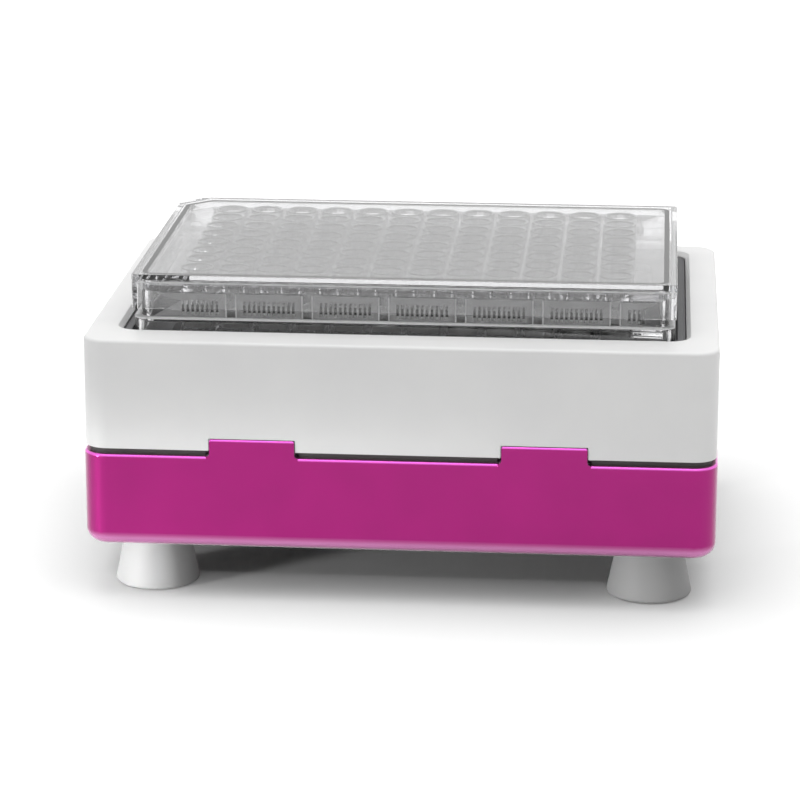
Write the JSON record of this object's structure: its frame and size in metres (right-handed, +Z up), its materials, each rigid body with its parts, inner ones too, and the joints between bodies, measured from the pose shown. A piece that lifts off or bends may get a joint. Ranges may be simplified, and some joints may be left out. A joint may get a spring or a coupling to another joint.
{
  "type": "filter plate vacuum manifold",
  "caption": "Bench vacuum manifold with a metal base tray, white collar, clear lidded filter plate, receiver tray, hose stub and rubber feet.",
  "frame": {"origin": "middle of the whole object's outline seen from above, on the bench under the feet", "axes": "+Z up, +X to the right seen from the front, +Y to the back, where the hose stub stands out"},
  "size_m": [0.1482, 0.1324, 0.0749],
  "materials": {
    "magenta_metal": "satin coating",
    "white_plastic": "fine satin",
    "black_rubber": "matte",
    "grey_silicone": "matte",
    "clear_polystyrene": "clear, moulded",
    "clear_lid": "clear, polished",
    "natural_polypropylene": "milky",
    "frit_white": "porous",
    "silica_white": "fibre mat",
    "ring_white": "milky",
    "nickel_plate": "nickel plated",
    "zinc_steel": "zinc plated",
    "foot_rubber": "smooth matte"
  },
  "bodies": {
    "base": {"base_tray": "magenta_metal", "base_seal": "black_rubber", "vacuum_stub": "nickel_plate", "stub_washer": "zinc_steel", "stub_seal_ring": "black_rubber", "foot_front_left": "foot_rubber", "foot_front_right": "foot_rubber", "foot_rear_left": "foot_rubber", "foot_rear_right": "foot_rubber", "foot_screws": "zinc_steel", "foot_washers": "zinc_steel"},
    "collar": {"top_collar": "white_plastic", "plate_gasket": "grey_silicone"},
    "plate": {"filter_plate": "clear_polystyrene", "plate_deck": "clear_polystyrene", "filter_wells": "clear_polystyrene", "support_frits": "frit_white", "silica_membranes": "silica_white", "retaining_rings": "ring_white"},
    "lid": {"plate_lid": "clear_lid"},
    "receiver": {"receiver_tray": "natural_polypropylene"}
  },
  "joints": [
    {"name": "collar_lift", "type": "slide", "parent": "base", "child": "collar", "axis": [0, 0, 1], "range_m": [0, 0.06]},
    {"name": "plate_lift", "type": "slide", "parent": "collar", "child": "plate", "axis": [0, 0, 1], "range_m": [0, 0.03]},
    {"name": "lid_lift", "type": "slide", "parent": "plate", "child": "lid", "axis": [0, 0, 1], "range_m": [0, 0.02]},
    {"name": "receiver_lift", "type": "slide", "parent": "base", "child": "receiver", "axis": [0, 0, 1], "range_m": [0, 0.03]}
  ],
  "couplings": [
    {"joint": "receiver_lift", "follows": "collar_lift", "ratio": 0.5}
  ]
}
